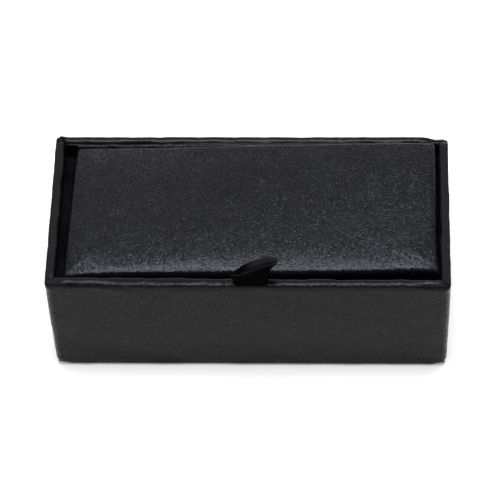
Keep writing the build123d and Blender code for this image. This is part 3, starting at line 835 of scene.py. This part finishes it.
pad_outer, pad_line = pad_edge()
edge_points = np.concatenate([pad_outer, pad_line])
mouth_points = slot_outline(edge_points)
near_mouth = np.linspace(0, 1, 26)
shares = (near_mouth - 0.09 * np.sin(2 * np.pi * near_mouth))[:, None, None]
half_plan = mouth_points + (edge_points - mouth_points) * shares
half_top = pad_height(half_plan[..., 0], half_plan[..., 1])
well = np.linspace(pad_low[2], half_top[0].min() - 0.15, 9)[:, None]
half_rows = np.concatenate([together(*mouth_points.T, well), np.dstack([half_plan, half_top])])
skirt_x, skirt_y, skirt_top = half_rows[-1, :len(pad_outer)].T
skirt_fall = np.linspace(0, 1, 5)[:, None]
skirt = together(skirt_x, skirt_y, skirt_top + (pad_low[2] - skirt_top) * skirt_fall)
under = np.stack([together(*plan.T, pad_low[2]) for plan in (edge_points, mouth_points)])
shift = (0, pad_middle[1], 0)
pad_points, pad_faces, first = [], [], 0
for mirror in (1, -1):
    for block, loops in ((half_rows, True), (skirt, False), (under, True)):
        pad_points.append((block * (mirror, 1, 1) + shift).reshape(-1, 3))
        pad_faces.append(grid_faces(*block.shape[:2], around=loops, first=first,
                                    turned=mirror < 0))
        first += block.shape[0] * block.shape[1]
insert_pad = piece("insert_velvet_pad", np.concatenate(pad_points), black_velvet,
                   np.concatenate(pad_faces))
swell(insert_pad, held_below=13.2, most=0.25)
subdivide(insert_pad)
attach(insert_pad, "tray")
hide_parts("insert_velvet", "insert_foam")

# ---- liner velvet -------------------------------------------------------------------------

liner_half_x, liner_half_y, liner_middle = half_sides(velvet_low, velvet_high)
ledge = velvet_high[2]
liner_wall = 2.9
liner_corner = 0.3
around_liner = places(liner_half_x, liner_half_y, liner_corner, step=0.8, fine=0.3,
                      corner_steps=3)
turn = np.radians(np.linspace(90, 0, 7))
liner_inset = np.concatenate([[0.02, 0.6, 1.4, 2.2], liner_wall - 0.5 + 0.5 * np.cos(turn),
                              np.full(9, liner_wall), [liner_wall - 0.4] * 2, [0.02]])
liner_height = np.concatenate([np.full(4, ledge), ledge - 0.5 + 0.5 * np.sin(turn),
                               np.linspace(ledge - 1.2, velvet_low[2], 9),
                               [velvet_low[2], ledge - 0.4], [ledge - 0.4]])
liner_x, liner_y = ring(around_liner, liner_half_x, liner_half_y, liner_inset,
                        np.maximum(liner_corner - liner_inset, 0.25))
liner_y = liner_y + liner_middle[1]

# The ledge dips at the front, where the ribbon's glued ends lie on the lid above it.
channel = smooth(4.9 - np.abs(liner_x - 1.85), 0, 0.45) * (liner_y < -12)
on_top = smooth(liner_height, ledge - 1.5, ledge - 0.5)[:, None]
uneven = 0.04 * wander(around_liner[2], around_liner[3], 12, 80, 31)
inward = (liner_inset < liner_wall - 0.02)[:, None]
liner_z = liner_height[:, None] - 0.62 * channel * on_top + uneven * on_top * inward
liner_points = come_round(together(liner_x, liner_y, liner_z))
liner = piece("liner_velvet_frame", liner_points, black_velvet)
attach(liner, "tray")
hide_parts("liner_velvet")

# ---- hinge strip --------------------------------------------------------------------------

# The lid turns about the pivot, which runs along the box.
pivot_y, pivot_z = 16.725, 27.85
strip_columns = np.linspace(strip_low[0] + 0.1, strip_high[0] - 0.1, 190)
strip_bend = 0.175


def offset_path(path, thickness):
    """A closed section: the path pushed out by half the thickness on its left, then back on
    its right."""
    tangent = np.gradient(path, axis=0)
    tangent = tangent / np.linalg.norm(tangent, axis=-1, keepdims=True)
    left = together(-tangent[..., 1], tangent[..., 0]) * thickness / 2
    return np.concatenate([path + left, (path - left)[::-1]])


# The strip goes up the wall, over its fold and down the lid. The fold wanders, and it stands
# fuller and leans apart from the middle to the right.
fold_turn = np.radians(np.linspace(0, 180, 9))
strip_path = np.concatenate([
    together(pivot_y + strip_bend, np.linspace(strip_low[2], pivot_z - 0.44, 12)),
    together(pivot_y + strip_bend * np.cos(fold_turn), pivot_z - 0.36 + 0.2 * np.sin(fold_turn)),
    together(pivot_y - strip_bend, np.linspace(pivot_z - 0.44, leaf_low[2], 6))])
strip_section = offset_path(strip_path, thickness=0.28)
near_fold = smooth(strip_section[:, 1], pivot_z - 1.5, pivot_z - 0.2)[:, None]
strip_z = strip_section[:, 1:] + 0.08 * wander(strip_columns, 77, 6, 40, 41) * near_fold
strip_y = strip_section[:, :1] + 0.05 * wander(strip_columns, 77, 9, 60, 42) * near_fold
lid_side = strip_section[:, :1] < pivot_y
on_fold = smooth(strip_section[:, 1], pivot_z - 0.9, pivot_z - 0.3)[:, None]
fuller_fold = smooth(strip_columns, -24, -4)
strip_z = strip_z + (0.14 + 0.24 * fuller_fold) * on_fold
strip_y = strip_y + np.where(lid_side, -0.20, 0.25 * fuller_fold) * on_fold
narrow = np.where(lid_side, np.clip(strip_columns, leaf_low[0], leaf_high[0]), strip_columns)
strip_points = come_round(together(narrow, strip_y, strip_z))
hinge = piece("hinge_leatherette_strip", strip_points, tray_leather,
              grid_faces(*strip_points.shape[:2]),
              marks={"rub": np.tile(come_round(near_fold), len(strip_columns))})
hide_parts("hinge_strip", "hinge_strip_lid_leaf")
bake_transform(hinge)

# ---- ribbon pull --------------------------------------------------------------------------

# The ribbon bends about the axis. Its three heights, from its left edge to its right, are those
# of the crest, of the turn behind it, and of the band that comes down.
ribbon_left, ribbon_right = tails_low[0], tails_high[0]
axis_y, axis_z = -15.55, 26.5
ribbon_thick = 0.26
across_ribbon = np.linspace(0, 1, 49)
crest_z = np.interp(across_ribbon, [0, 0.21, 0.42, 0.62, 0.8, 1],
                    [30.5, 30.7, 31.7, 33.0, 33.8, 34.4])
inner_z = np.interp(across_ribbon, [0, 0.18, 0.32, 0.62, 0.85, 1],
                    [29.0, 29.6, 32.0, 33.6, 34.5, 34.3])
back_z = np.interp(across_ribbon, [0, 0.21, 0.48, 0.69, 0.93, 1],
                   [29.4, 31.3, 32.8, 33.6, 33.9, 33.2])


def curve_through(corners, counts, sharpness):
    """A smooth line through rows of corner points by Catmull-Rom pieces: each piece has its
    own count of steps, and the sharpness scales its tangents."""
    ahead = np.concatenate([corners[:1], corners, corners[-1:]])
    parts = []
    for k, count in enumerate(counts):
        before, start, end, after = ahead[k:k + 4]
        t = np.linspace(0, 1, count, endpoint=False)[:, None, None]
        leave = (end - before) * 0.5 * sharpness
        arrive = (after - start) * 0.5 * sharpness
        parts.append((2 * t ** 3 - 3 * t ** 2 + 1) * start + (t ** 3 - 2 * t ** 2 + t) * leave
                     + (3 * t ** 2 - 2 * t ** 3) * end + (t ** 3 - t ** 2) * arrive)
    return np.concatenate(parts + [corners[-1:]])


def ribbon_corner(left, right, y, z):
    """One corner of the ribbon's route: a row across it, from its left edge to its right. The
    route leaves the glued end below, stands up in the gap, leans out over the rim, turns at
    the crest, and comes back down behind to the glued end above."""
    return together(left + (right - left) * across_ribbon, y, z)


tail_end = tails_high[1] - 0.05
lower_tail = tails_low[2] + 0.15
upper_tail = tails_low[2] + 0.45
glued = (ribbon_left, ribbon_right)
ribbon_corners = np.stack([ribbon_corner(*row) for row in (
    (*glued, tail_end, lower_tail),
    (*glued, axis_y + 0.6, lower_tail),
    (*glued, axis_y - 0.15, lower_tail + 0.5),
    (-2.6, 4.9, axis_y - 0.16, axis_z),
    (-2.9, 4.3, axis_y - 0.2, 27.75),
    (-2.5, 4.0, -17.0, 28.3),
    (-1.55, 3.6, -18.5, 28.45),
    (-2.1, 3.9, -18.75, 28.7 + 0.35 * (crest_z - 29)),
    (-2.8, 4.6, -18.65, 28.9 + 0.75 * (crest_z - 29)),
    (-3.1, 5.8, -18.2, crest_z),
    (-2.7, 6.1, -17.2, inner_z),
    (-2.3, 5.9, -16.2, back_z),
    (-2.1, 4.3, -15.8, 28.6 + 0.4 * (back_z - 29)),
    (-2.0, 3.8, axis_y + 0.1, 28.1),
    (-2.6, 4.9, axis_y + 0.16, axis_z),
    (*glued, axis_y + 0.2, upper_tail + 0.35),
    (*glued, axis_y + 0.75, upper_tail),
    (*glued, tail_end, upper_tail))])
ribbon_steps = [12, 4, 6, 4, 6, 6, 5, 6, 6, 6, 6, 8, 5, 5, 6, 4, 12]
ribbon_path = curve_through(ribbon_corners, ribbon_steps, 0.8)
path_step = np.gradient(ribbon_path, axis=0)
path_across = np.gradient(ribbon_path, axis=1)
path_side = np.cross(path_across, path_step)
path_side *= ribbon_thick / 2 / np.linalg.norm(path_side, axis=-1, keepdims=True)
ribbon_points = come_round(np.concatenate([ribbon_path + path_side,
                                           (ribbon_path - path_side)[::-1]]))
middle_line = ribbon_path[:, len(across_ribbon) // 2]
walked = np.cumsum(np.linalg.norm(np.diff(middle_line, axis=0, prepend=middle_line[:1]),
                                  axis=-1))
walked = come_round(np.concatenate([walked, walked[::-1]]))

# It is painted paler along the crest, and behind it on its right side: a painted light where the
# band faces up, while the front ply keeps its darker painted shade.
past_crest = np.arange(len(ribbon_path)) - sum(ribbon_steps[:9])
ribbon_painted_light = (0.7 * hump(past_crest - 0.5, 2.4)[:, None] + 0 * across_ribbon
               + 0.75 * (smooth(past_crest, 2, 5) * (1 - smooth(past_crest, 14, 22)))[:, None]
               * smooth(across_ribbon, 0.26, 0.5))
ribbon_painted_light = come_round(np.concatenate([ribbon_painted_light, ribbon_painted_light[::-1]]))
ribbon_lie = together(across_ribbon * (ribbon_right - ribbon_left), walked[:, None])


def capped(points):
    """Close a tube-like grid at its first and last column, by faces between the column's two
    halves."""
    rows, columns = points.shape[:2]
    index = np.arange(rows * columns).reshape(rows, columns)
    half = (rows - 1) // 2
    ends = []
    for column, turned in ((0, False), (columns - 1, True)):
        near = index[:half, column]
        far = index[2 * half - 1:half - 1:-1, column]
        quads = np.stack([near[:-1], near[1:], far[1:], far[:-1]], -1)
        ends.append(quads[:, ::-1] if turned else quads)
    return np.concatenate([grid_faces(rows, columns), *ends])


ribbon = piece("ribbon_pull", ribbon_points, ribbon_finish, capped(ribbon_points),
               lengths=ribbon_lie, marks={"wear_and_painted_light": ribbon_painted_light})
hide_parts("ribbon_loop", "ribbon_tails")
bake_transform(ribbon)

# ---- frame pieces that stay ---------------------------------------------------------------

for name, node in nodes.items():
    plain = {"insert_bench": black_card, "base_sheet": base_paper}.get(name)
    finish = greyboard if name.endswith("_board") else plain
    if finish:
        node.data.materials.clear()
        node.data.materials.append(finish)

# ---- floor, light and camera --------------------------------------------------------------


def white_floor():
    """A pale floor. It stays white in the picture and in reflections, and keeps its shadow:
    a plain diffuse near white, with a share of white light added for those rays alone."""
    made = bpy.data.materials.new("studio_floor")
    made.use_nodes = True
    tree = made.node_tree
    tree.nodes.remove(tree.nodes["Principled BSDF"])
    diffuse = add(tree, "ShaderNodeBsdfDiffuse", {"Color": (0.90, 0.88, 0.79, 1)})
    path = tree.nodes.new("ShaderNodeLightPath")
    seen = maths(tree, "MAXIMUM", path.outputs["Is Camera Ray"],
                 maths(tree, "MAXIMUM", path.outputs["Is Glossy Ray"],
                       path.outputs["Is Transmission Ray"]))
    glow = add(tree, "ShaderNodeEmission", {"Strength": maths(tree, "MULTIPLY", seen, 0.30)})
    both = add(tree, "ShaderNodeAddShader", {0: diffuse.outputs[0], 1: glow.outputs[0]})
    tree.links.new(both.outputs[0], tree.nodes["Material Output"].inputs["Surface"])
    return made


reach = 4
floor_mesh = bpy.data.meshes.new("studio_floor")
floor_mesh.from_pydata([(-reach, -reach, 0), (reach, -reach, 0), (reach, reach, 0),
                        (-reach, reach, 0)], [], [(0, 1, 2, 3)])
floor = bpy.data.objects.new("studio_floor", floor_mesh)
floor_mesh.materials.append(white_floor())
bpy.context.scene.collection.objects.link(floor)

# The world grows lighter towards the rear, where the lid's and the rim's tops look, and has a
# brighter strip low down there. The front stays dark. Its Y is the direction looked in.
world = bpy.data.worlds.new("studio")
bpy.context.scene.world = world
world.use_nodes = True
sky = world.node_tree
background = sky.nodes["Background"]
direction = add(sky, "ShaderNodeTexCoord").outputs["Generated"]
towards_rear = add(sky, "ShaderNodeSeparateXYZ", {0: direction}).outputs["Y"]
rearward = smooth_step(sky, towards_rear, 0.20, 0.90, 0.10, 1.42)
low_rear = smooth_step(sky, towards_rear, 0.82, 0.95, 0.0, 1.6)
sky.links.new(maths(sky, "ADD", rearward, low_rear), background.inputs["Strength"])
background.inputs["Color"].default_value = (0.99, 0.985, 1.04, 1)

# A softbox hangs over the middle, facing down.
lamp = bpy.data.lights.new("overhead_softbox", "AREA")
lamp.shape = "RECTANGLE"
lamp.size, lamp.size_y = 0.50, 0.38
lamp.energy = 10.0
lamp.color = (0.95, 0.975, 1.12)
softbox = bpy.data.objects.new("overhead_softbox", lamp)
bpy.context.scene.collection.objects.link(softbox)
softbox.matrix_world = Matrix.Translation((0, 0, 0.95))

# The camera's lens and place, in millimetres and metres, are solved from the box's corners.
camera_data = bpy.data.cameras.new("camera")
camera_data.sensor_width = 36.0
camera_data.lens = 199.14
camera_data.clip_start, camera_data.clip_end = 0.05, 20
camera = bpy.data.objects.new("camera", camera_data)
bpy.context.scene.collection.objects.link(camera)
camera.matrix_world = Matrix((
    (0.99925809, -0.00178789, 0.03847164, 0.021549),
    (0.02428218, 0.8046076, -0.5933102, -0.336384),
    (-0.0298938, 0.59380419, 0.80405407, 0.470286),
    (0, 0, 0, 1)))
bpy.context.scene.camera = camera
bpy.context.scene.view_settings.view_transform = "Standard"
